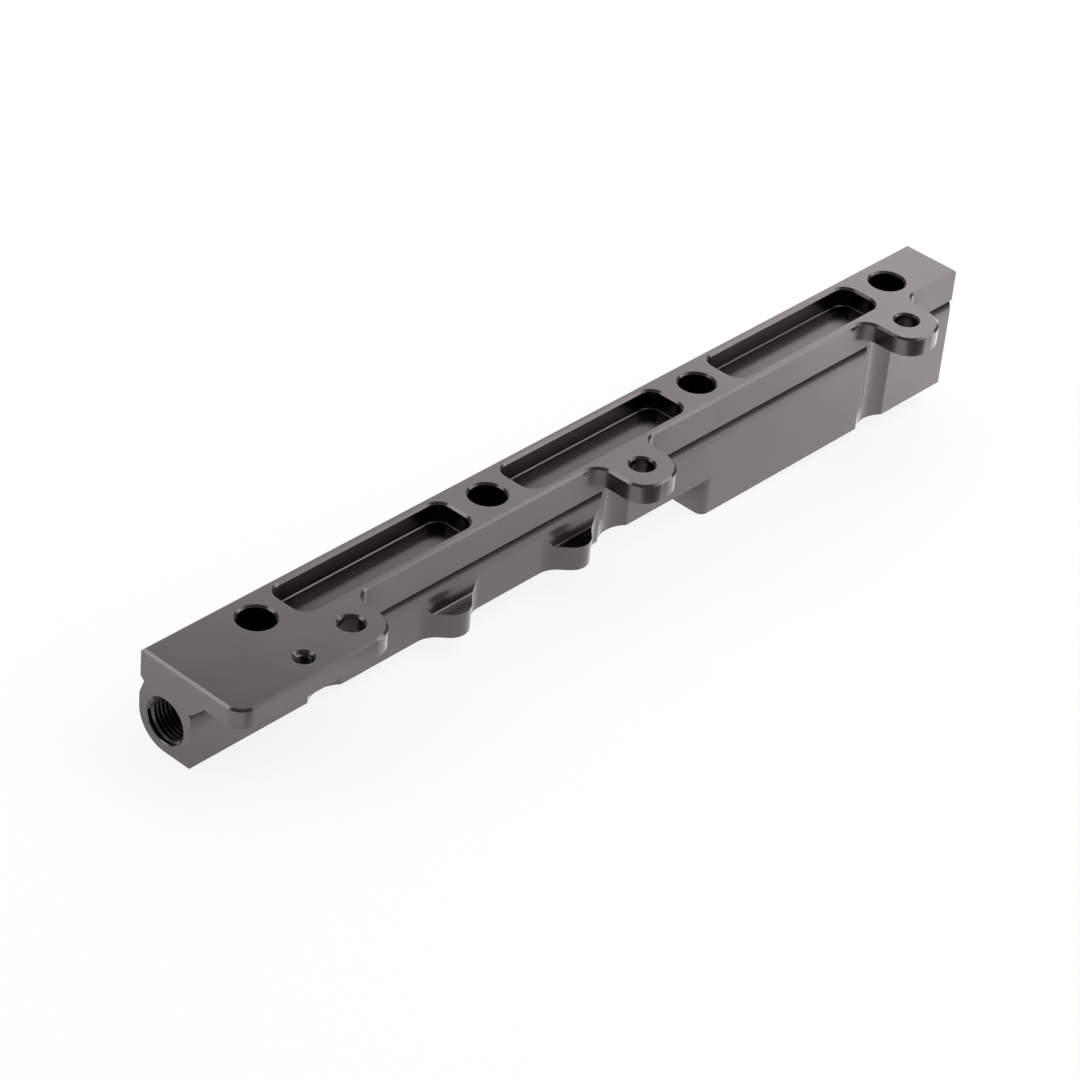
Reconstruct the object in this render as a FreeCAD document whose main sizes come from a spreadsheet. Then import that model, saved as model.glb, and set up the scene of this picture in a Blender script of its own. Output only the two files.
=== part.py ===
import FreeCAD, Part

import math
import os

import Sketcher

# A fuel rail for a four cylinder engine, milled from one aluminium billet.
# It is modelled in millimetres with +Z up, the way it lies with its injector cups open upwards.
# The origin is at the mouth of the near fuel port, on the axis of the gallery that the rail
# carries fuel in. +X runs along the gallery, and the mounting ears are on the -Y side.
# Depths are measured down from the flat face that the cups open in.

SIZES = [
    ("plate_width", 20.0, "the flat face between its two long sides"),
    ("axis_depth", 18.8, "flat face down to the gallery axis"),
    ("near_radius", 10.2, "outer round behind the gallery, and gallery axis to the shallow underside"),
    ("front_wall", 10.0, "gallery axis to the upright front wall of the body"),
    ("deep_start", 209.7, "near end face to the start of the deep half"),
    ("deep_depth", 42.0, "flat face down to the underside of the deep half"),
    ("deep_corner", 2.5, "radius of the deep half's upright front corner"),
    ("gallery_bore", 11.0, "diameter of the fuel gallery"),
    ("port_thread", 14.29, "outside diameter of the port thread, nine sixteenths of an inch"),
    ("port_depth", 14.0, "length of the tapped part of each port"),
    ("port_chamfer", 0.25, "lead-in of each port"),
    ("first_cup", 32.5, "near end face to the first injector cup"),
    ("cup_spacing", 90.0, "distance between injector cups, the bore spacing of the engine"),
    ("last_cup", 22.5, "last injector cup to the far end face"),
    ("cup_bore", 11.0, "diameter of the cup that an injector's O-ring seals in"),
    ("cup_depth", 12.0, "depth of the cup"),
    ("cup_chamfer", 0.64, "lead-in of the cup"),
    ("feed_bore", 6.4, "drilling from each cup into the gallery"),
    ("relief_start", 11.1, "cup axis to the near end of a lightening pocket"),
    ("relief_end", 12.3, "far end of a lightening pocket to the next cup's axis"),
    ("relief_width", 14.6, "width of a lightening pocket"),
    ("relief_depth", 6.5, "depth of a lightening pocket"),
    ("relief_corner", 4.4, "radius of a lightening pocket's upright corners"),
    ("relief_floor_radius", 0.7, "radius round the floor of a lightening pocket"),
    ("ear_reach", 28.4, "gallery axis to the tip of an ear"),
    ("ear_thickness", 6.2, "thickness of an ear"),
    ("ear_width", 19.5, "width of an ear along the rail"),
    ("ear_near_corner", 7.0, "radius of an ear's outer corner towards the near end"),
    ("ear_far_corner", 9.4, "radius of an ear's outer corner towards the far end"),
    ("end_corner", 5.3, "radius of the long ear's corner at the near end"),
    ("ear_root", 5.0, "radius where an ear meets the plate"),
    ("ear_bolt_row", 18.4, "gallery axis to the row of bolt holes"),
    ("ear_1", 50.3, "near end face to the first bolt hole"),
    ("ear_2", 167.8, "near end face to the second bolt hole"),
    ("ear_3_back", 35.5, "third bolt hole to the far end face"),
    ("ear_bore", 7.2, "diameter of the bolt holes"),
    ("ear_bore_chamfer", 0.65, "lead-in of the bolt holes"),
    ("bolt_room", 10.6, "radius kept free round each bolt below its ear"),
    ("tapped_x", 30.1, "near end face to the small tapped hole"),
    ("tapped_row", 20.9, "gallery axis to the small tapped hole"),
    ("tapped_thread", 5.0, "outside diameter of the small hole's thread, metric 5"),
    ("tapped_chamfer", 0.8, "countersink of the small tapped hole"),
    ("plate_depth", 11.0, "height of the plate's front side, down to the step under it"),
    ("waist_radius", 14.5, "radius that leads the front wall in to that step"),
    ("waist_end", 16.1, "flat face down to where that radius meets the front wall"),
    ("cove_radius", 11.0, "radius that leads the front wall out to the boss shelves"),
    ("shelf_depth", 21.0, "flat face down to the tops of the two bosses"),
    ("shelf_radius", 0.7, "radius where the cove meets a boss shelf"),
    ("rear_side_depth", 8.9, "height of the plate's rear side"),
    ("rear_neck", 8.55, "gallery axis to the bottom of the rear groove"),
    ("rear_neck_depth", 10.2, "depth of the rear groove's bottom below the flat face"),
    ("rear_groove_end", 14.6, "depth at which the rear groove runs out"),
    ("boss_1", 99.0, "near end face to the first boss"),
    ("boss_2", 149.0, "near end face to the second boss"),
    ("boss_reach", 16.4, "gallery axis to the front of a boss"),
    ("boss_radius", 6.0, "round of a boss"),
    ("boss_root", 8.0, "radius where a boss's 45 degree flanks sweep into the wall"),
    ("edge_chamfer", 0.7, "broken edge round the flat face"),
    ("cutter_clearance", 5.0, "how far a cut runs out past the metal"),
]

CUP_COUNT = 4
COMBINED = {
    "rail_length": "(first_cup + %d * cup_spacing + last_cup)" % (CUP_COUNT - 1),
    "relief_length": "(cup_spacing - relief_start - relief_end)",
    "ear_3": "(first_cup + %d * cup_spacing + last_cup - ear_3_back)" % (CUP_COUNT - 1),
}
EPSILON = 0.01

os.makedirs("parts", exist_ok=True)
doc = FreeCAD.newDocument("fuel_rail")

sheet = doc.addObject("Spreadsheet::Sheet", "Sizes")
for row, (alias, value, meaning) in enumerate(SIZES, start=1):
    sheet.set("A%d" % row, meaning)
    sheet.set("B%d" % row, str(value))
    sheet.setAlias("B%d" % row, alias)
doc.recompute()

body = doc.addObject("PartDesign::Body", "fuel_rail")
body.Label = "fuel_rail"


def size(expression):
    """Work out an expression of the sheet's names."""
    return float(body.evalExpression(named(expression)))


def named(expression):
    """Write out the combined lengths and put the sheet's name before each of its aliases."""
    words = []
    word = ""
    for letter in expression + " ":
        if letter.isalnum() or letter == "_":
            word += letter
            continue
        if word in COMBINED:
            words.append(named(COMBINED[word]))
        else:
            words.append("Sizes." + word if word in ALIASES else word)
        words.append(letter)
        word = ""
    return "".join(words).strip()


ALIASES = {alias for alias, value, meaning in SIZES}


def origin_feature(role):
    """Find one of the body's own planes or axes."""
    for feature in body.Origin.OriginFeatures:
        if feature.Role == role:
            return feature
    raise ValueError(role)


def new_sketch(name, role, offset="0"):
    """Start a sketch on one of the body's planes, moved along the plane's normal."""
    sketch = body.newObject("Sketcher::SketchObject", name)
    sketch.AttachmentSupport = [(origin_feature(role), "")]
    sketch.MapMode = "FlatFace"
    sketch.setExpression("AttachmentOffset.Base.z", named(offset))
    return sketch


def dimension(sketch, kind, element, point, expression):
    """Place a point from the sketch's origin by an expression of the sheet's names."""
    number = sketch.addConstraint(Sketcher.Constraint(kind, -1, 1, element, point, size(expression)))
    sketch.setExpression("Constraints[%d]" % number, named(expression))


def arc_through(start, end, radius, turn):
    """Make the short arc from start to end. It bends to the left for turn 1, to the right for -1."""
    middle = (start + end) * 0.5
    chord = end - start
    rise = math.sqrt(max(radius * radius - chord.Length * chord.Length / 4, 0.0))
    side = FreeCAD.Vector(-chord.y, chord.x, 0).normalize()
    centre = middle + side * (rise * turn)
    first, last = (start, end) if turn > 0 else (end, start)
    angles = [math.atan2(p.y - centre.y, p.x - centre.x) for p in (first, last)]
    return Part.ArcOfCircle(Part.Circle(centre, FreeCAD.Vector(0, 0, 1), radius), *angles)


def outline(sketch, steps):
    """Draw a closed outline.

    Each step is a corner (across, up), with the radius and turn of the arc that leads on from it
    or with nothing where a straight line does.
    """
    corners = [FreeCAD.Vector(size(step[0]), size(step[1]), 0) for step in steps]
    first = sketch.GeometryCount
    ends = []
    for index, step in enumerate(steps):
        start, end = corners[index], corners[(index + 1) % len(steps)]
        if len(step) == 2:
            element = sketch.addGeometry(Part.LineSegment(start, end))
            ends.append((1, 2))
        else:
            element = sketch.addGeometry(arc_through(start, end, size(step[2]), step[3]))
            ends.append((1, 2) if step[3] > 0 else (2, 1))
            number = sketch.addConstraint(Sketcher.Constraint("Radius", element, size(step[2])))
            sketch.setExpression("Constraints[%d]" % number, named(step[2]))
    for index, step in enumerate(steps):
        following = (index + 1) % len(steps)
        here, there = first + index, first + following
        joint = Sketcher.Constraint("Coincident", here, ends[index][1], there, ends[following][0])
        sketch.addConstraint(joint)
        dimension(sketch, "DistanceX", here, ends[index][0], step[0])
        dimension(sketch, "DistanceY", here, ends[index][0], step[1])


def circle(sketch, across, up, diameter):
    """Draw a circle by its centre and diameter."""
    centre = FreeCAD.Vector(size(across), size(up), 0)
    shape = Part.Circle(centre, FreeCAD.Vector(0, 0, 1), size(diameter) / 2)
    element = sketch.addGeometry(shape)
    number = sketch.addConstraint(Sketcher.Constraint("Diameter", element, size(diameter)))
    sketch.setExpression("Constraints[%d]" % number, named(diameter))
    dimension(sketch, "DistanceX", element, 3, across)
    dimension(sketch, "DistanceY", element, 3, up)


def cut(name, sketch, length=None, towards_normal=False):
    """Pocket a sketch, through everything unless a length is given, and see that it removes metal."""
    before = body.Tip.Shape.Volume
    feature = body.newObject("PartDesign::Pocket", name)
    feature.Profile = (sketch, [""])
    feature.Reversed = towards_normal
    if length is None:
        feature.Type = "ThroughAll"
    else:
        feature.Type = "Length"
        feature.setExpression("Length", named(length))
    doc.recompute()
    if feature.Shape.isNull() or feature.Shape.Volume > before - EPSILON:
        raise RuntimeError(name + " removed nothing")
    return feature


def along_rail(name, features, pitch, count):
    """Repeat features along the rail."""
    pattern = body.newObject("PartDesign::LinearPattern", name)
    pattern.Originals = features
    pattern.Direction = (origin_feature("X_Axis"), [""])
    pattern.Occurrences = count
    pattern.setExpression("Length", named("%s * %d" % (pitch, count - 1)))
    body.Tip = pattern
    doc.recompute()
    return pattern


def edges_where(test):
    """Name the edges of the finished shape so far that pass a test."""
    shape = body.Tip.Shape
    return ["Edge%d" % number for number, edge in enumerate(shape.Edges, start=1) if test(edge)]


def break_edges(kind, name, amount, test):
    """Fillet or chamfer the edges that pass a test."""
    names = edges_where(test)
    if not names:
        raise RuntimeError(name + " found no edge")
    base = body.Tip
    feature = body.newObject("PartDesign::" + kind, name)
    feature.Base = (base, names)
    feature.setExpression("Radius" if kind == "Fillet" else "Size", named(amount))
    doc.recompute()
    return feature


def spans(edge, axis, value):
    """Say whether all of an edge lies at one value of x, y or z."""
    box = edge.BoundBox
    low = getattr(box, axis + "Min")
    high = getattr(box, axis + "Max")
    return abs(low - value) < EPSILON and abs(high - value) < EPSILON


# The billet reaches from the tips of the ears to the rear of the body.
sketch = new_sketch("billet_section", "YZ_Plane")
outline(sketch, [
    ("-ear_reach", "axis_depth - deep_depth"),
    ("near_radius", "axis_depth - deep_depth"),
    ("near_radius", "axis_depth"),
    ("-ear_reach", "axis_depth"),
])
billet = body.newObject("PartDesign::Pad", "billet")
billet.Profile = (sketch, [""])
billet.setExpression("Length", named("rail_length"))
doc.recompute()

# The cut under the ears leaves their flat underside, a gusset that runs down from it at 45 degrees,
# the step under the plate, the waist that leads from it down to the front wall, and the cove that
# leads on from the waist to the boss shelves.
shelf_root = "(front_wall + cove_radius - sqrt(cove_radius^2 - (shelf_depth - waist_end)^2))"
step = "(sqrt(waist_radius^2 - (waist_end - plate_depth)^2) - waist_radius + front_wall)"
sketch = new_sketch("under_ears_section", "YZ_Plane")
outline(sketch, [
    ("-(front_wall + plate_depth - ear_thickness)", "axis_depth - ear_thickness"),
    ("-(ear_reach + cutter_clearance)", "axis_depth - ear_thickness"),
    ("-(ear_reach + cutter_clearance)", "axis_depth - shelf_depth"),
    ("-" + shelf_root, "axis_depth - shelf_depth", "cove_radius", 1),
    ("-front_wall", "axis_depth - waist_end", "waist_radius", -1),
    ("-" + step, "axis_depth - plate_depth"),
    ("-front_wall", "axis_depth - plate_depth"),
])
cut("under_ears", sketch, towards_normal=True)

# Only the long ear at the near end keeps its gusset.
sketch = new_sketch("gusset_end_plan", "XY_Plane", "axis_depth - plate_depth")
outline(sketch, [
    ("ear_1", "-front_wall"),
    ("ear_1", "-(ear_reach + cutter_clearance)"),
    ("rail_length + cutter_clearance", "-(ear_reach + cutter_clearance)"),
    ("rail_length + cutter_clearance", "-front_wall"),
])
cut("gusset_end", sketch, "plate_depth - ear_thickness", towards_normal=True)


def boss_steps(centre):
    """Lead an outline round one boss, from the wall out to its front and back to the wall."""
    foot = "(sqrt(2) * (boss_root + boss_radius) - front_wall - boss_root + boss_reach - boss_radius)"
    flank = "(%s - boss_root / sqrt(2))" % foot
    flank_y = "-(front_wall + boss_root) + boss_root / sqrt(2)"
    nose = "boss_radius / sqrt(2)"
    nose_y = "-(boss_reach - boss_radius) - " + nose
    return [
        ("%s - %s" % (centre, foot), "-front_wall", "boss_root", -1),
        ("%s - %s" % (centre, flank), flank_y),
        ("%s - %s" % (centre, nose), nose_y, "boss_radius", 1),
        ("%s + %s" % (centre, nose), nose_y),
        ("%s + %s" % (centre, flank), flank_y, "boss_root", -1),
        ("%s + %s" % (centre, foot), "-front_wall"),
    ]


# Seen from below, the front wall is straight and sweeps out round the two bosses.
sketch = new_sketch("front_wall_plan", "XY_Plane", "axis_depth - deep_depth")
outline(sketch, [("-cutter_clearance", "-front_wall")] + boss_steps("boss_1") + boss_steps("boss_2") + [
    ("rail_length + cutter_clearance", "-front_wall"),
    ("rail_length + cutter_clearance", "-(ear_reach + cutter_clearance)"),
    ("-cutter_clearance", "-(ear_reach + cutter_clearance)"),
])
cut("front_wall_cut", sketch, "deep_depth - plate_depth", towards_normal=True)

# Round each bolt the metal below the ear is cleared for the bolt's head and the tool that turns it.
sketch = new_sketch("bolt_room_plan", "XY_Plane", "axis_depth - deep_depth")
for ear in ("ear_1", "ear_2", "ear_3"):
    circle(sketch, ear, "-ear_bolt_row", "2 * bolt_room")
cut("bolt_room_cut", sketch, "deep_depth - ear_thickness", towards_normal=True)

# The near half is shallower than the far half.
sketch = new_sketch("near_underside", "XZ_Plane", "ear_reach + cutter_clearance")
outline(sketch, [
    ("-cutter_clearance", "axis_depth - deep_depth - cutter_clearance"),
    ("deep_start", "axis_depth - deep_depth - cutter_clearance"),
    ("deep_start", "-near_radius"),
    ("-cutter_clearance", "-near_radius"),
])
cut("near_underside_cut", sketch)

# The rear side is round behind the gallery, and the deep half has the same round at its lower edge.
sketch = new_sketch("near_round", "YZ_Plane")
outline(sketch, [
    ("0", "-near_radius", "near_radius", 1),
    ("near_radius", "0"),
    ("near_radius + cutter_clearance", "0"),
    ("near_radius + cutter_clearance", "-near_radius - cutter_clearance"),
    ("0", "-near_radius - cutter_clearance"),
])
cut("near_round_cut", sketch, "deep_start", towards_normal=True)

sketch = new_sketch("deep_round", "YZ_Plane", "deep_start")
outline(sketch, [
    ("0", "axis_depth - deep_depth", "near_radius", 1),
    ("near_radius", "axis_depth - deep_depth + near_radius"),
    ("near_radius + cutter_clearance", "axis_depth - deep_depth + near_radius"),
    ("near_radius + cutter_clearance", "axis_depth - deep_depth - cutter_clearance"),
    ("0", "axis_depth - deep_depth - cutter_clearance"),
])
cut("deep_round_cut", sketch, "rail_length - deep_start", towards_normal=True)

# The plate's rear side ends in a groove above the round.
sketch = new_sketch("rear_side", "YZ_Plane")
outline(sketch, [
    ("plate_width / 2", "axis_depth - rear_side_depth"),
    ("rear_neck", "axis_depth - rear_neck_depth"),
    ("near_radius", "axis_depth - rear_groove_end"),
    ("near_radius + cutter_clearance", "axis_depth - rear_groove_end"),
    ("near_radius + cutter_clearance", "axis_depth + cutter_clearance"),
    ("plate_width / 2", "axis_depth + cutter_clearance"),
])
cut("rear_side_cut", sketch, towards_normal=True)


def ear_side(ear, side):
    """Give the corners of one side of an ear, from its tip to the plate. side is -1 or 1."""
    flank = "%s + %d * ear_width / 2" % (ear, side)
    corner = "ear_far_corner" if side > 0 else "ear_near_corner"
    return [
        ("%s - %d * %s" % (flank, side, corner), "-ear_reach"),
        (flank, "-(ear_reach - %s)" % corner),
        (flank, "-(plate_width / 2 + ear_root)"),
        ("%s + %d * ear_root" % (flank, side), "-plate_width / 2"),
    ]


def rounded_side(ear):
    """Lead an outline from an ear's tip down its far side to the plate."""
    tip, corner, root, plate = ear_side(ear, 1)
    return [tip + ("ear_far_corner", 1), corner, root + ("ear_root", -1), plate]


def rounded_return(ear):
    """Lead an outline from the plate up an ear's near side to its tip."""
    tip, corner, root, plate = ear_side(ear, -1)
    return [plate + ("ear_root", -1), root, corner + ("ear_near_corner", 1), tip]


# Seen from above, the flange is milled away between the ears, back to the plate.
run_out = "-(ear_reach + cutter_clearance)"
sketch = new_sketch("ears_plan", "XY_Plane", "axis_depth")
for left, right in (("ear_1", "ear_2"), ("ear_2", "ear_3")):
    steps = rounded_side(left) + rounded_return(right)
    outline(sketch, steps + [(steps[-1][0], run_out), (steps[0][0], run_out)])
steps = rounded_side("ear_3")
outline(sketch, steps + [
    ("rail_length + cutter_clearance", "-plate_width / 2"),
    ("rail_length + cutter_clearance", run_out),
    (steps[0][0], run_out),
])
outline(sketch, [
    ("end_corner", "-ear_reach", "end_corner", -1),
    ("0", "-(ear_reach - end_corner)"),
    ("-cutter_clearance", "-(ear_reach - end_corner)"),
    ("-cutter_clearance", run_out),
    ("end_corner", run_out),
])
cut("ears_cut", sketch, "plate_depth")

# The deep half's upright front corner is rounded, and so are the feet of the boss shelves.
break_edges("Fillet", "deep_corner_round", "deep_corner", lambda edge: (
    spans(edge, "X", size("deep_start")) and spans(edge, "Y", size("-front_wall"))))
break_edges("Fillet", "shelf_round", "shelf_radius", lambda edge: (
    spans(edge, "Z", size("axis_depth - shelf_depth")) and spans(edge, "Y", size("-" + shelf_root))))

# Three lightening pockets lie between the cups.
sketch = new_sketch("relief_plan", "XY_Plane", "axis_depth")
near, far = "first_cup + relief_start", "first_cup + relief_start + relief_length"
half, corner = "relief_width / 2", "relief_corner"
outline(sketch, [
    (near + " + " + corner, "-" + half),
    (far + " - " + corner, "-" + half, corner, 1),
    (far, "-" + half + " + " + corner),
    (far, half + " - " + corner, corner, 1),
    (far + " - " + corner, half),
    (near + " + " + corner, half, corner, 1),
    (near, half + " - " + corner),
    (near, "-" + half + " + " + corner, corner, 1),
])
relief = cut("relief_cut", sketch, "relief_depth")
along_rail("reliefs", [relief], "cup_spacing", CUP_COUNT - 1)

# Each cup is bored from the flat face, and a smaller drilling feeds it from the gallery.
sketch = new_sketch("cup_plan", "XY_Plane", "axis_depth")
circle(sketch, "first_cup", "0", "cup_bore")
cup = cut("cup_cut", sketch, "cup_depth")
sketch = new_sketch("feed_plan", "XY_Plane", "axis_depth")
circle(sketch, "first_cup", "0", "feed_bore")
feed = cut("feed_cut", sketch, "axis_depth")
along_rail("cups", [cup, feed], "cup_spacing", CUP_COUNT)

# The gallery runs from end to end, and each end is tapped as a port.
sketch = new_sketch("gallery_section", "YZ_Plane")
circle(sketch, "0", "0", "gallery_bore")
cut("gallery_cut", sketch, towards_normal=True)
sketch = new_sketch("near_port_section", "YZ_Plane")
circle(sketch, "0", "0", "port_thread")
cut("near_port_cut", sketch, "port_depth", towards_normal=True)
sketch = new_sketch("far_port_section", "YZ_Plane", "rail_length")
circle(sketch, "0", "0", "port_thread")
cut("far_port_cut", sketch, "port_depth")

# Bolt holes go through the ears, and a small tapped hole through the long ear.
sketch = new_sketch("ear_holes_plan", "XY_Plane", "axis_depth")
for ear in ("ear_1", "ear_2", "ear_3"):
    circle(sketch, ear, "-ear_bolt_row", "ear_bore")
circle(sketch, "tapped_x", "-tapped_row", "tapped_thread")
cut("ear_holes_cut", sketch, "plate_depth")


def rim(radius, axis, value):
    """Make a test for the round edges of one radius that lie in one plane."""
    def test(edge):
        """Say whether an edge is such a rim."""
        is_round = hasattr(edge.Curve, "Radius") and abs(edge.Curve.Radius - radius) < EPSILON
        return is_round and spans(edge, axis, value) and edge.isClosed()
    return test


# Every mouth has a lead-in, and the edges of the flat face are broken.
top = size("axis_depth")
break_edges("Fillet", "relief_floor_round", "relief_floor_radius", lambda edge: (
    spans(edge, "Z", size("axis_depth - relief_depth"))))
break_edges("Chamfer", "cup_lead_in", "cup_chamfer", rim(size("cup_bore") / 2, "Z", top))
break_edges("Chamfer", "ear_lead_in", "ear_bore_chamfer", rim(size("ear_bore") / 2, "Z", top))
break_edges("Chamfer", "tapped_lead_in", "tapped_chamfer", rim(size("tapped_thread") / 2, "Z", top))
for name, place in (("near_port_lead_in", 0.0), ("far_port_lead_in", size("rail_length"))):
    break_edges("Chamfer", name, "port_chamfer", rim(size("port_thread") / 2, "X", place))
break_edges("Chamfer", "flat_face_edges", "edge_chamfer", lambda edge: (
    spans(edge, "Z", top) and not edge.isClosed()))

doc.recompute()
for item in doc.Objects:
    if "Invalid" in item.State or "Error" in item.State:
        raise RuntimeError(item.Name + " failed")
shape = body.Shape
if shape.isNull() or not shape.isValid() or len(shape.Solids) != 1:
    raise RuntimeError("the rail is not one sound solid")
box = shape.BoundBox
print("solid", len(shape.Faces), "faces,", round(shape.Volume / 1000, 2), "cm3")
print("box", [round(v, 2) for v in (box.XMin, box.YMin, box.ZMin, box.XMax, box.YMax, box.ZMax)])
print("centre", [round(v, 2) for v in shape.Solids[0].CenterOfMass])
shape.exportStep("parts/" + body.Label + ".step")
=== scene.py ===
# %% [markdown]
# # A billet fuel rail
# This notebook dresses a fuel rail that was milled from one bar of aluminium and anodised black.
# The imported model is loaded as a fixed frame. It holds the rail itself as one solid, already in
# its real size and place, in metres, so what is left to make here is the finish, the threads that
# are too fine for the solid, the light and the camera.
# The dressed rail may not grow out of it.

# %% Load the frame
import math

import bpy
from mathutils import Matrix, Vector


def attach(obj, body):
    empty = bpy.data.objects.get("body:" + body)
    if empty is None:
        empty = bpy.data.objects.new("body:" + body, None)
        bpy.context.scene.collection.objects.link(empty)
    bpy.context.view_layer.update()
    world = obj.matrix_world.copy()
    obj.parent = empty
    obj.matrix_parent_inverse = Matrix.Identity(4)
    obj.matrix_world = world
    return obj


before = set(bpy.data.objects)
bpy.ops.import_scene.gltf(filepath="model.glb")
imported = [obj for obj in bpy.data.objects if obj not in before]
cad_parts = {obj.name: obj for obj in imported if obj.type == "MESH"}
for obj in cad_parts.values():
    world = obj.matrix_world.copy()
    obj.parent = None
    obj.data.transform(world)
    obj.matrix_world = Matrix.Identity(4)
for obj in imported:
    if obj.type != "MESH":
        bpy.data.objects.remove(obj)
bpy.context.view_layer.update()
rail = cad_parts["fuel_rail"]
print("faces", len(rail.data.polygons), "material slots", len(rail.material_slots))

# %% [markdown]
# ## The camera
# The photograph was taken from the near left, from well above, with a long lens. The place, the
# turn and the focal length were found by fitting known corners and hole centres of the rail to
# the picture. A Blender camera looks down its own -Z axis, so three Euler angles and a place are
# all that it needs, and the square picture is filled by a 36 mm wide sensor.

# %% The camera
CAMERA_PLACE = (-0.57746, -0.60798, 0.65931)
CAMERA_TURN_DEGREES = (54.6438, -4.6368, -46.7340)
FOCAL_LENGTH_MM = 132.58
SENSOR_WIDTH_MM = 36.0
NEAREST_SEEN = 0.01
FARTHEST_SEEN = 20.0


def new_object(name, data):
    """Make an object out of its data and put it in the scene."""
    thing = bpy.data.objects.new(name, data)
    bpy.context.scene.collection.objects.link(thing)
    return thing


camera_data = bpy.data.cameras.new("photo_camera")
camera_data.sensor_width = SENSOR_WIDTH_MM
camera_data.lens = FOCAL_LENGTH_MM
camera_data.clip_start = NEAREST_SEEN
camera_data.clip_end = FARTHEST_SEEN
camera = new_object("photo_camera", camera_data)
camera.location = CAMERA_PLACE
camera.rotation_euler = [math.radians(angle) for angle in CAMERA_TURN_DEGREES]
bpy.context.scene.camera = camera
print("camera", [round(v, 3) for v in camera.location], "lens", FOCAL_LENGTH_MM, "mm")

# %% [markdown]
# ## Helpers for nodes
# A finish is a tree of nodes joined by links. A few short helpers keep the trees readable. One
# adds a node on a grid of columns and rows, so that the node editor shows it tidily. One feeds a
# socket, with a number or with a link. The rest add the kinds of node that come up repeatedly.

# %% Helpers for nodes
GRID = 200


def add_node(tree, kind, at):
    """Add a node to a tree. at is its column and row in the node editor."""
    node = tree.nodes.new(kind)
    node.location = (GRID * at[0], -GRID * at[1])
    return node


def feed(tree, socket, value):
    """Give a socket a number, or link it to the socket that value is."""
    if isinstance(value, (int, float)):
        socket.default_value = value
    else:
        tree.links.new(value, socket)


def maths(tree, at, operation, *values):
    """Add a math node. Each value is a socket or a number."""
    node = add_node(tree, "ShaderNodeMath", at)
    node.operation = operation
    for socket, value in zip(node.inputs, values):
        feed(tree, socket, value)
    return node.outputs["Value"]


def remap(tree, at, value, span, to_low, to_high):
    """Stretch the span of a socket's values to new ends, which are sockets or numbers."""
    node = add_node(tree, "ShaderNodeMapRange", at)
    names = ("Value", "From Min", "From Max", "To Min", "To Max")
    for name, number in zip(names, (value, *span, to_low, to_high)):
        feed(tree, node.inputs[name], number)
    return node.outputs["Result"]


def noise(tree, at, vector, scale, detail):
    """Add a noise texture. vector and scale are sockets."""
    node = add_node(tree, "ShaderNodeTexNoise", at)
    feed(tree, node.inputs["Vector"], vector)
    feed(tree, node.inputs["Scale"], scale)
    feed(tree, node.inputs["Detail"], detail)
    return node.outputs["Fac"]


print("grid of", GRID, "units in the node editor")

# %% [markdown]
# ## Anodise grain and painted shade, shared by every metal finish
# Anodising etches and dyes the metal, so its colour wanders very slightly from place to place and
# its surface has a fine, even tooth. Both the outside and the threads show it, so it is one node
# group with named inputs. It gives out a colour, a roughness, a share of clear coat and a height,
# all of which change over the surface. The colour and the coat also carry painted shade in hidden
# places. What stays the same all over is set on the shader itself.
# First comes the empty group with its sockets.

# %% The group's sockets
CLOUD_SCALE = 60.0
TOOTH_SCALE = 2600.0
# Reach and darkest share of the painted shade in hidden places.
PAINTED_SHADE_REACH = 0.013
PAINTED_SHADE_DARKEST = 0.20
GROUP_INPUTS = (
    ("Vector", "NodeSocketVector", None),
    ("Darker", "NodeSocketColor", None),
    ("Lighter", "NodeSocketColor", None),
    ("Cloud Scale", "NodeSocketFloat", CLOUD_SCALE),
    ("Tooth Scale", "NodeSocketFloat", TOOTH_SCALE),
    ("Smoothest", "NodeSocketFloat", None),
    ("Roughest", "NodeSocketFloat", None),
    ("Painted Shade Reach", "NodeSocketFloat", PAINTED_SHADE_REACH),
    ("Painted Shade Darkest", "NodeSocketFloat", PAINTED_SHADE_DARKEST),
)
GROUP_OUTPUTS = (
    ("Colour", "NodeSocketColor", None),
    ("Roughness", "NodeSocketFloat", None),
    ("Coat", "NodeSocketFloat", None),
    ("Height", "NodeSocketFloat", None),
)

anodise = bpy.data.node_groups.new("anodise grain and painted shade", "ShaderNodeTree")
for in_out, sockets in (("INPUT", GROUP_INPUTS), ("OUTPUT", GROUP_OUTPUTS)):
    for name, kind, default in sockets:
        socket = anodise.interface.new_socket(name=name, in_out=in_out, socket_type=kind)
        if default is not None:
            socket.default_value = default
given = add_node(anodise, "NodeGroupInput", (0, 0)).outputs
result = add_node(anodise, "NodeGroupOutput", (6, 0)).inputs
print("group", anodise.name, "with inputs", [socket.name for socket in given if socket.name])

# %% [markdown]
# ### Clouds in the dye and tooth on the surface
# Soft clouds a centimetre or two across lead the colour from the darker to the lighter end and
# make the surface a little smoother or rougher with it. A second noise with grains of less than
# half a millimetre is the etched tooth. Noise in the object's own coordinates needs no unwrapping
# and has no seams, which a painted map would have on so many small faces.

# %% Clouds and tooth
CLOUD_DETAIL = 4.0
TOOTH_DETAIL = 2.0
DYE_SPAN = (0.35, 0.65)
ROUGH_SPAN = (0.3, 0.7)

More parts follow.
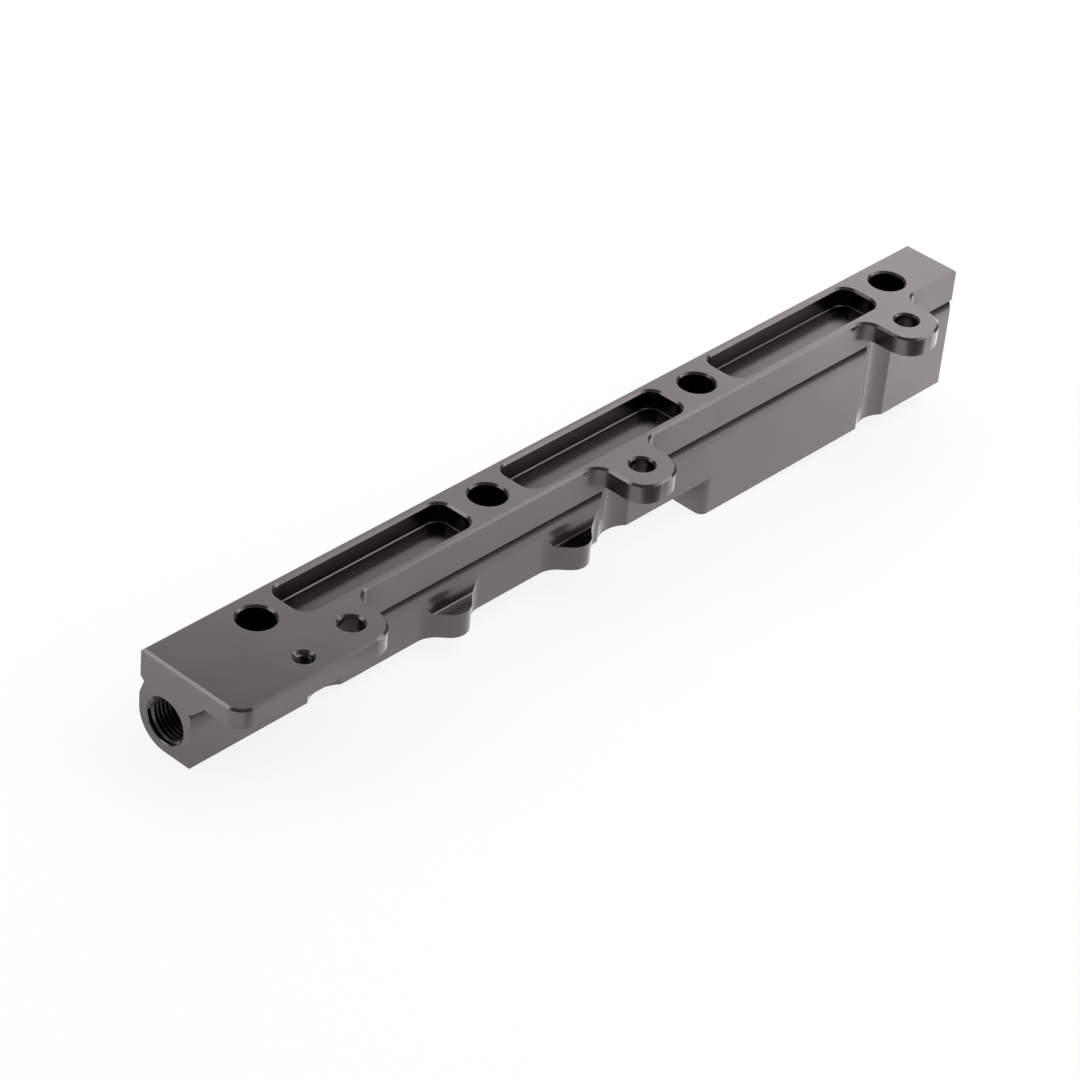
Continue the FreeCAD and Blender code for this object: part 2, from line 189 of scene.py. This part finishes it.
clouds = noise(anodise, (1, 0), given["Vector"], given["Cloud Scale"], CLOUD_DETAIL)
tooth = noise(anodise, (1, 2), given["Vector"], given["Tooth Scale"], TOOTH_DETAIL)
dye = add_node(anodise, "ShaderNodeMix", (3, 0))
dye.data_type = "RGBA"
feed(anodise, dye.inputs["Factor"], remap(anodise, (2, 0), clouds, DYE_SPAN, 0.0, 1.0))
feed(anodise, dye.inputs["A"], given["Darker"])
feed(anodise, dye.inputs["B"], given["Lighter"])
roughness = remap(anodise, (3, 1), clouds, ROUGH_SPAN, given["Smoothest"], given["Roughest"])
feed(anodise, result["Roughness"], roughness)
feed(anodise, result["Height"], tooth)
print("clouds of", round(1000 / CLOUD_SCALE, 1), "mm, tooth of", round(1000 / TOOTH_SCALE, 1), "mm")

# %% [markdown]
# ### Painted shade in hidden places
# Pockets, ledges and the foot of a wall mirror more of the rail than of the studio, and each
# bounce on dyed metal loses most of the light. The reflections show some of this by themselves.
# The rest is painted shade: the Ambient Occlusion node finds how open the half ball over a point
# is, and the base colour is darkened where it is closed. It counts the rail alone, so that the
# floor darkens nothing. The mask takes the clear coat down as well, because a coat left whole would
# put a grey veil over the dark places.

# %% Hidden places
PAINTED_SHADE_RAYS = 12
PAINTED_SHADE_SPAN = (0.48, 0.97)

# Painted shade: colour and coat are darkened where the rail closes in over a point.
openness = add_node(anodise, "ShaderNodeAmbientOcclusion", (2, -2))
openness.samples = PAINTED_SHADE_RAYS
openness.only_local = True
feed(anodise, openness.inputs["Distance"], given["Painted Shade Reach"])
open_share = openness.outputs["AO"]
painted_shade_share = remap(anodise, (3, -2), open_share, PAINTED_SHADE_SPAN, given["Painted Shade Darkest"], 1.0)
painted_shade_colour = add_node(anodise, "ShaderNodeVectorMath", (4, 0))
painted_shade_colour.operation = "SCALE"
feed(anodise, painted_shade_colour.inputs[0], dye.outputs["Result"])
feed(anodise, painted_shade_colour.inputs["Scale"], painted_shade_share)
feed(anodise, result["Colour"], painted_shade_colour.outputs["Vector"])
feed(anodise, result["Coat"], painted_shade_share)
print("group", anodise.name, "with", len(anodise.nodes), "nodes")

# %% [markdown]
# ## The two metal finishes
# Anodised aluminium is metal under a dyed and sealed oxide. It could be made as a dark plastic, but
# a plastic that is seen face on mirrors hardly anything. A metallic shader with a dark grey base
# colour mirrors the studio dimly and softly, so faces that look out at the bright table turn mid
# grey. The sealed oxide on top is a thin clear coat, a little sharper than the metal, and it helps
# the broken edges to their bright lines.
# The outside is milled and blasted before the dye. The threads are tapped, which leaves them
# The threads are tapped, which leaves them slightly rougher with a finer tooth, and they are given
# a darker colour, painted shade for the inside of the holes.

# %% The finishes
SAME_ALL_OVER = {"Metallic": 1.0, "Coat Roughness": 0.17, "Coat IOR": 1.5}
TOOTH_STRENGTH = 0.35


def metal(name, tooth_height, grain_values):
    """Make an anodised metal finish out of the shared grain, with its own values."""
    material = bpy.data.materials.new(name)
    material.use_nodes = True
    tree = material.node_tree
    shader = tree.nodes["Principled BSDF"]
    for socket, value in SAME_ALL_OVER.items():
        shader.inputs[socket].default_value = value
    own = add_node(tree, "ShaderNodeTexCoord", (-4, 0))
    grain = add_node(tree, "ShaderNodeGroup", (-3, 0))
    grain.node_tree = anodise
    feed(tree, grain.inputs["Vector"], own.outputs["Object"])
    for socket, value in grain_values.items():
        grain.inputs[socket].default_value = value
    bump = add_node(tree, "ShaderNodeBump", (-1, 2))
    feed(tree, bump.inputs["Strength"], TOOTH_STRENGTH)
    feed(tree, bump.inputs["Distance"], tooth_height)
    feed(tree, bump.inputs["Height"], grain.outputs["Height"])
    feed(tree, shader.inputs["Base Color"], grain.outputs["Colour"])
    feed(tree, shader.inputs["Roughness"], grain.outputs["Roughness"])
    feed(tree, shader.inputs["Coat Weight"], grain.outputs["Coat"])
    feed(tree, shader.inputs["Normal"], bump.outputs["Normal"])
    return material


billet_finish = metal("black anodised billet", tooth_height=0.00002, grain_values={
    "Darker": (0.096, 0.081, 0.086, 1.0),
    "Lighter": (0.110, 0.095, 0.100, 1.0),
    "Smoothest": 0.20,
    "Roughest": 0.24,
})
# The darker colour of the thread finish is painted shade for the inside of the ports and the ear's
# hole.
thread_finish_painted_darker = metal("black anodised thread with painted shade", tooth_height=0.00001, grain_values={
    "Darker": (0.060, 0.057, 0.058, 1.0),
    "Lighter": (0.072, 0.069, 0.070, 1.0),
    "Smoothest": 0.26,
    "Roughest": 0.32,
})
for slot in rail.material_slots:
    slot.material = billet_finish
print("finishes", billet_finish.name, "and", thread_finish_painted_darker.name)

# %% [markdown]
# ## Cut threads
# A thread in a hole is a ridge that winds round the wall. It could be drawn with a bump map, but
# from the side a bump has no crests, so each ridge is real geometry: a trapezoid is carried round
# the hole along a helix and the ends are capped. Where the hole opens in a lead-in cone, the
# crest is cut back to the cone, and at the bottom the ridge fades into the wall as a tap leaves it.

# %% The points of a ridge
STEPS_PER_TURN = 48
STEPS_OF_FADE = 24
CREST_SHARE = 0.14
ROOT_SHARE = 0.86
CORNERS = 4


def ridge_points(mouth, inward, across, cut):
    """Carry the trapezoid down the hole. inward and across are unit vectors.

    cut gives the radii of the wall, of the crest and of the lead-in cone at the mouth, the pitch,
    and the depths at which the ridge starts and ends.
    """
    third = inward.cross(across)
    length = cut["end"] - cut["start"]
    turns = length / cut["pitch"]
    steps = int(turns * STEPS_PER_TURN)
    half_crest = CREST_SHARE * cut["pitch"] / 2
    half_root = ROOT_SHARE * cut["pitch"] / 2
    points = []
    for step in range(steps + 1):
        depth = cut["start"] + length * step / steps
        angle = 2 * math.pi * turns * step / steps
        outward = across * math.cos(angle) + third * math.sin(angle)
        fade = min(1.0, (steps - step) / STEPS_OF_FADE)
        low = cut["wall"] - (cut["wall"] - cut["crest"]) * fade
        offsets = (-half_root, -half_crest, half_crest, half_root)
        for offset, radius in zip(offsets, (cut["wall"], low, low, cut["wall"])):
            at = depth + offset
            radius = min(cut["wall"], max(radius, cut["cone"] - at))
            points.append(mouth + inward * at + outward * radius)
    return points


print("ridge of", CORNERS, "corners and", STEPS_PER_TURN, "steps to the turn")

# %% The thread builder
def thread_ridge(name, mouth, inward, across, cut):
    """Skin the points of a ridge, cap both ends and let the piece ride on the rail."""
    points = ridge_points(mouth, inward, across, cut)
    last = len(points) - CORNERS
    faces = []
    for here in range(0, last, CORNERS):
        there = here + CORNERS
        for corner in range(CORNERS):
            after = (corner + 1) % CORNERS
            faces.append((here + corner, here + after, there + after, there + corner))
    faces.append(tuple(reversed(range(CORNERS))))
    faces.append(tuple(range(last, last + CORNERS)))
    mesh = bpy.data.meshes.new(name)
    mesh.from_pydata([tuple(point) for point in points], [], faces)
    mesh.validate()
    mesh.materials.append(thread_finish_painted_darker)
    piece = new_object(name, mesh)
    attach(piece, "root")
    print(name, "with", len(mesh.polygons), "faces")


# %% [markdown]
# Each end of the rail has a port with a straight thread of 18 turns to the inch, and the long ear
# has a small tapped hole. The sizes are those of the solid's walls, less a hair so that the ridge
# grows out of the wall and never through it.

# %% The threads
RAIL_LENGTH = 0.325
FACE_HEIGHT = 0.0188
INCH = 0.0254
PORT_PITCH = INCH / 18
PORT_CUT = {
    "wall": 0.00714, "crest": 0.00645, "cone": 0.007395,
    "pitch": PORT_PITCH, "start": PORT_PITCH / 2, "end": 0.0132,
}
EAR_CUT = {
    "wall": 0.002497, "crest": 0.00207, "cone": 0.0033,
    "pitch": 0.0008, "start": 0.0007, "end": 0.0058,
}
NEAR_MOUTH = Vector((0, 0, 0))
FAR_MOUTH = Vector((RAIL_LENGTH, 0, 0))
EAR_MOUTH = Vector((0.0301, -0.0209, FACE_HEIGHT))
ALONG, ACROSS, UP = Vector((1, 0, 0)), Vector((0, 1, 0)), Vector((0, 0, 1))

thread_ridge("near_port_thread", NEAR_MOUTH, ALONG, ACROSS, PORT_CUT)
thread_ridge("far_port_thread", FAR_MOUTH, -ALONG, ACROSS, PORT_CUT)
thread_ridge("ear_thread", EAR_MOUTH, -UP, ALONG, EAR_CUT)

# %% [markdown]
# ## The floor
# The rail rests with its weight on two edges: the lower edge of its near end and the edge where
# the deep half begins. A plane through both is tipped by three and a half degrees, so the floor
# is one large square in that plane.

# %% The floor
NEAR_EDGE = Vector((0.0, 0.0, -0.0102))
DEEP_EDGE = Vector((0.2097, 0.0, -0.0232))
FLOOR_SIZE = 6.0

slope = math.atan2(NEAR_EDGE.z - DEEP_EDGE.z, DEEP_EDGE.x - NEAR_EDGE.x)
half = FLOOR_SIZE / 2
corners = [(-half, -half, 0), (half, -half, 0), (half, half, 0), (-half, half, 0)]
floor_mesh = bpy.data.meshes.new("floor")
floor_mesh.from_pydata(corners, [], [(0, 1, 2, 3)])
floor = new_object("floor", floor_mesh)
floor.location = NEAR_EDGE
floor.rotation_euler = (0.0, slope, 0.0)
print("floor tipped by", round(math.degrees(slope), 2), "degrees")

# %% [markdown]
# ## The lit table, painted light seen in reflections
# Black anodising mirrors what it stands on. In the photograph that is a table which is brightest
# beside the rail, brighter again towards the backdrop at the far end, and lost in the dark of the
# room a hand's width away. The upright walls mirror the near part and turn grey, while the waist
# under the plate leans back, mirrors the part further out and turns dark. The bright band is
# narrowest beside the first boss and widens from there to both ends.
# Many small lamps could light a plain floor like this, but they would light the rail too, so the
# table is painted light: ramps draw it as a glow, one beside the rail and one along it, multiplied,
# and a third that widens the band. Close beside the rail and at the foot of the near end the ramps
# dip, which is a painted shadow. They use the floor's own coordinates, so the table stays put in
# every view.

# %% A ramp of brightness
def brightness_ramp(tree, at, distance, stops, brightest):
    """Turn a distance in metres into a share of the brightest, straight from stop to stop."""
    first, last = stops[0][0], stops[-1][0]
    ramp = add_node(tree, "ShaderNodeValToRGB", at)
    reach = remap(tree, (at[0] - 1, at[1]), distance, (first, last), 0.0, 1.0)
    feed(tree, ramp.inputs["Fac"], reach)
    while len(ramp.color_ramp.elements) < len(stops):
        ramp.color_ramp.elements.new(0.5)
    for element, (distance_at, bright) in zip(ramp.color_ramp.elements, stops):
        element.position = (distance_at - first) / (last - first)
        share = bright / brightest
        element.color = (share, share, share, 1.0)
    print("ramp from", first, "to", last, "m with", len(ramp.color_ramp.elements), "stops")
    return ramp.outputs["Color"]


# %% The table's brightness
TABLE_BRIGHTEST = 1.52
# Painted light for reflections. The dip to 0.84 at the foot of the near end is a painted shadow.
TABLE_ALONG = (
    (-0.03, 1.22), (-0.016, 1.10), (-0.003, 0.84), (0.02, 1.00), (0.055, 1.06),
    (0.09, 1.00), (0.155, 1.02), (0.25, 1.16), (0.29, 1.23), (0.34, 1.52),
)
# The lower values close beside the rail are a painted shadow; past the band the table falls into
# the dark of the room.
TABLE_BESIDE = (
    (0.0, 0.88), (0.023, 0.86), (0.034, 0.95), (0.043, 1.0),
    (0.046, 0.90), (0.055, 0.26), (0.093, 0.10),
)
TABLE_WIDEST = 0.027
TABLE_WIDENS = ((-0.03, 0.016), (0.06, 0.016), (0.09, 0.007), (0.34, 0.027))

floor_finish = bpy.data.materials.new("pale floor")
floor_finish.use_nodes = True
tree = floor_finish.node_tree
tree.nodes.clear()
own = add_node(tree, "ShaderNodeTexCoord", (-8, 0))
axes = add_node(tree, "ShaderNodeSeparateXYZ", (-7, 0))
feed(tree, axes.inputs["Vector"], own.outputs["Object"])
along, across = axes.outputs["X"], axes.outputs["Y"]
wider_share = brightness_ramp(tree, (-5, 1), along, TABLE_WIDENS, TABLE_WIDEST)
wider = maths(tree, (-4, 1), "MULTIPLY", wider_share, TABLE_WIDEST)
off_axis = maths(tree, (-4, 0), "ABSOLUTE", across)
aside = maths(tree, (-3, 0), "SUBTRACT", off_axis, wider)
beside_share = brightness_ramp(tree, (-1, 0), aside, TABLE_BESIDE, 1.0)
along_share = brightness_ramp(tree, (-1, 2), along, TABLE_ALONG, TABLE_BRIGHTEST)
table_share = maths(tree, (0, 0), "MULTIPLY", beside_share, along_share)
table = maths(tree, (1, 0), "MULTIPLY", table_share, TABLE_BRIGHTEST)

# %% [markdown]
# ## The floor's finish
# The lamps treat the floor as pale paper. The camera sees it nearly white, with a little of its
# own shading left in, so that the soft shadow under the rail stays. Reflections see the painted
# light of the lit table in its place. The Light Path node tells the three apart, so one floor
# serves them all.

# %% The floor's finish
PAPER = 0.80
SEEN_SHARE = 0.86


def mixed(tree, at, share, first, second):
    """Mix two shaders. A share of 1 is all second."""
    node = add_node(tree, "ShaderNodeMixShader", at)
    for socket, value in zip(node.inputs, (share, first, second)):
        feed(tree, socket, value)
    return node.outputs["Shader"]


rays = add_node(tree, "ShaderNodeLightPath", (1, 3)).outputs
paper = add_node(tree, "ShaderNodeBsdfDiffuse", (2, 2))
paper.inputs["Color"].default_value = (PAPER, PAPER, PAPER, 1.0)
white = add_node(tree, "ShaderNodeEmission", (2, 3))
# Painted light: the table's glow, seen only by reflections.
painted_table_glow = add_node(tree, "ShaderNodeEmission", (2, 0))
feed(tree, painted_table_glow.inputs["Strength"], table)
camera_share = maths(tree, (2, 4), "MULTIPLY", rays["Is Camera Ray"], SEEN_SHARE)
seen = mixed(tree, (3, 2), camera_share, paper.outputs["BSDF"], white.outputs["Emission"])
mirrored = mixed(tree, (4, 1), rays["Is Glossy Ray"], seen, painted_table_glow.outputs["Emission"])
surface = add_node(tree, "ShaderNodeOutputMaterial", (5, 1))
feed(tree, surface.inputs["Surface"], mirrored)
floor_mesh.materials.append(floor_finish)
print("floor finish with", len(tree.nodes), "nodes")

# %% [markdown]
# ## The walls of the studio
# The world stands for the walls round the table. It is white to the camera, as a plain backdrop
# is. As a lamp it is a mid grey, which fills the shadow softly. In reflections it is dim, because
# the photograph's room is dark in front and to the right: whatever faces it there turns dark.

# %% The world
WORLD_SEEN = 1.0
WORLD_LIGHT = 0.70
WORLD_MIRRORED = 0.20

world = bpy.data.worlds.new("white studio")
bpy.context.scene.world = world
world.use_nodes = True
tree = world.node_tree
tree.nodes.clear()
rays = add_node(tree, "ShaderNodeLightPath", (0, 0)).outputs
level = WORLD_LIGHT
PICKS = (("Is Glossy Ray", WORLD_MIRRORED), ("Is Camera Ray", WORLD_SEEN))
for column, (ray, strength) in enumerate(PICKS, start=1):
    pick = add_node(tree, "ShaderNodeMix", (column, 0))
    pick.data_type = "FLOAT"
    feed(tree, pick.inputs["Factor"], rays[ray])
    feed(tree, pick.inputs["A"], level)
    feed(tree, pick.inputs["B"], strength)
    level = pick.outputs["Result"]
studio = add_node(tree, "ShaderNodeBackground", (3, 0))
studio.inputs["Color"].default_value = (1.0, 1.0, 1.0, 1.0)
feed(tree, studio.inputs["Strength"], level)
sky = add_node(tree, "ShaderNodeOutputWorld", (4, 0))
feed(tree, sky.inputs["Surface"], studio.outputs["Background"])
print("world", WORLD_SEEN, "seen,", WORLD_LIGHT, "as light,", WORLD_MIRRORED, "mirrored")

# %% [markdown]
# ## The soft boxes
# Metal shows its lamps as bright shapes, so each lamp is a large soft box that one kind of face
# mirrors. The backdrop box and the fill beside it stand behind the far end, and the flat face
# mirrors them. The overhead box is the main lamp, and casts the soft shadow. The broken front
# edge mirrors the two boxes in front, one for the far half and one for the near end. One more
# behind the near end lights the sides that the photograph doesn't show. Each is given by how
# bright it looks, because a lamp's watts alone don't tell that.

# %% The soft boxes
NEAR_END = (0.03, 0.0, 0.0)
RAIL_MIDDLE = (0.16, 0.0, 0.0)
FAR_HALF = (0.24, 0.0, 0.0)
LAST_POCKET = (0.26, 0.0, 0.0)
FAR_END = (0.32, 0.0, 0.0)
SOFT_BOXES = (
    # name, place, what it faces, width, height, brightness
    ("backdrop_box", (1.42, 0.415, 0.68), LAST_POCKET, 0.72, 0.72, 0.46),
    ("back_fill_box", (1.12, 0.86, 0.56), RAIL_MIDDLE, 1.0, 0.91, 1.03),
    ("overhead_box", (0.60, -0.22, 0.90), FAR_END, 0.7, 0.7, 3.0),
    ("far_front_box", (1.10, -0.64, 0.625), FAR_HALF, 0.5, 0.5, 2.0),
    ("near_front_box", (0.50, -0.60, 0.52), NEAR_END, 0.3, 0.3, 0.7),
    ("near_back_box", (-0.50, 0.50, 0.58), RAIL_MIDDLE, 0.5, 0.5, 2.0),
)

for name, place, aim, width, height, brightness in SOFT_BOXES:
    lamp = bpy.data.lights.new(name, "AREA")
    lamp.shape = "RECTANGLE"
    lamp.size = width
    lamp.size_y = height
    lamp.energy = brightness * math.pi * width * height
    box = new_object(name, lamp)
    box.location = place
    box.rotation_euler = (Vector(aim) - Vector(place)).to_track_quat("-Z", "Y").to_euler()
    print(name, "at", place, "with", round(lamp.energy, 2), "W")

bpy.context.scene.view_settings.view_transform = "Standard"
